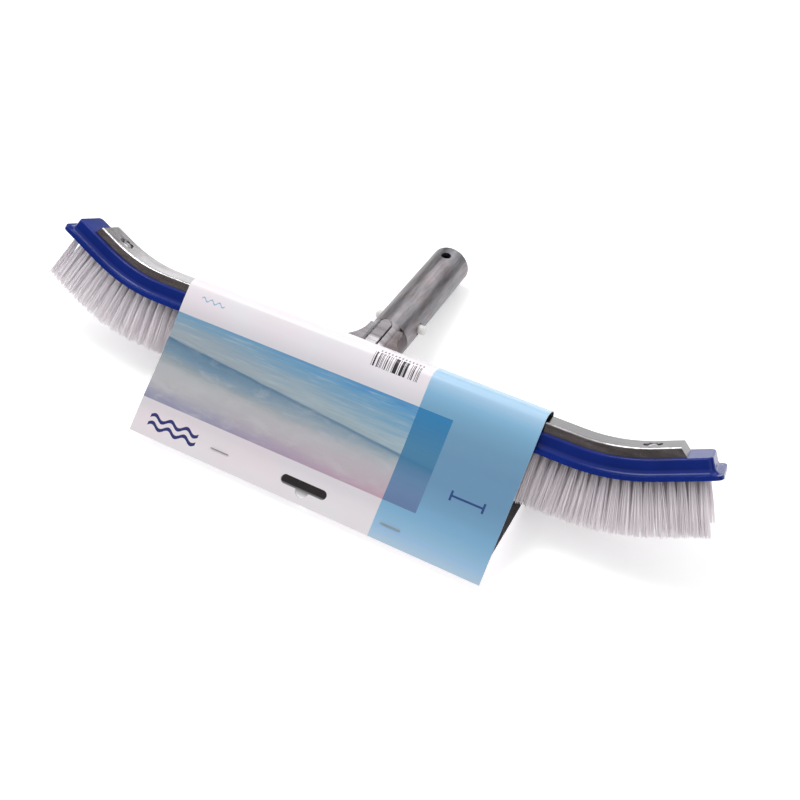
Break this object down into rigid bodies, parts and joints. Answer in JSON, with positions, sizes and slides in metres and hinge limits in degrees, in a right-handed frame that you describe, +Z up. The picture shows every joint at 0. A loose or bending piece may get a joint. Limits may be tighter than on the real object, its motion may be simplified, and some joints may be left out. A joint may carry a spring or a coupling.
{
  "type": "pool wall brush",
  "caption": "Curved swimming pool wall brush with nylon tufts in a blue block, a cast aluminium back with a pole handle and sprung buttons, in its folded card sleeve",
  "frame": {"origin": "on the surface it lies on, under the middle of the whole object's box", "axes": "+X along the brush, +Y towards the free end of the handle, +Z up"},
  "size_m": [0.4606, 0.2222, 0.0707],
  "materials": {
    "block_plastic": "glossy royal blue",
    "cast_aluminium": "polished casting",
    "rivet_metal": "formed",
    "nylon_bristle": "translucent white nylon",
    "anchor_wire": "plated",
    "plug_plastic": "moulded black",
    "clip_plastic": "moulded",
    "sleeve_card": "printed and glazed",
    "staple_wire": "plated"
  },
  "bodies": {
    "head": {"brush_block": "block_plastic", "back_casting": "cast_aluminium", "handle_tube": "cast_aluminium", "handle_plug": "plug_plastic", "rivet_left_end": "rivet_metal", "rivet_left_middle": "rivet_metal", "rivet_left_inner": "rivet_metal", "rivet_right_inner": "rivet_metal", "rivet_right_middle": "rivet_metal", "rivet_right_end": "rivet_metal", "clip_bend": "clip_plastic", "tufts_front_outer": "nylon_bristle", "tufts_front_inner": "nylon_bristle", "tufts_back_inner": "nylon_bristle", "tufts_back_outer": "nylon_bristle", "anchors_front_outer": "anchor_wire", "anchors_front_inner": "anchor_wire", "anchors_back_inner": "anchor_wire", "anchors_back_outer": "anchor_wire"},
    "clip_left": {"clip_arm_left": "clip_plastic"},
    "clip_right": {"clip_arm_right": "clip_plastic"},
    "sleeve": {"card_sleeve": "sleeve_card", "staple_left": "staple_wire", "staple_right": "staple_wire"}
  },
  "joints": [
    {"name": "button_left_press", "type": "hinge", "parent": "head", "child": "clip_left", "pos_m": [0, 0.08568, 0.01771], "axis": [0, 0.1736, 0.9848], "range_deg": [0, 5.1], "stiffness_Nm_per_rad": 0.6},
    {"name": "button_right_press", "type": "hinge", "parent": "head", "child": "clip_right", "pos_m": [0, 0.08568, 0.01771], "axis": [0, -0.1736, -0.9848], "range_deg": [0, 5.1], "stiffness_Nm_per_rad": 0.6},
    {"name": "sleeve_slide", "type": "slide", "parent": "head", "child": "sleeve", "axis": [1, 0, 0], "range_m": [-0.005, 0.005]}
  ]
}
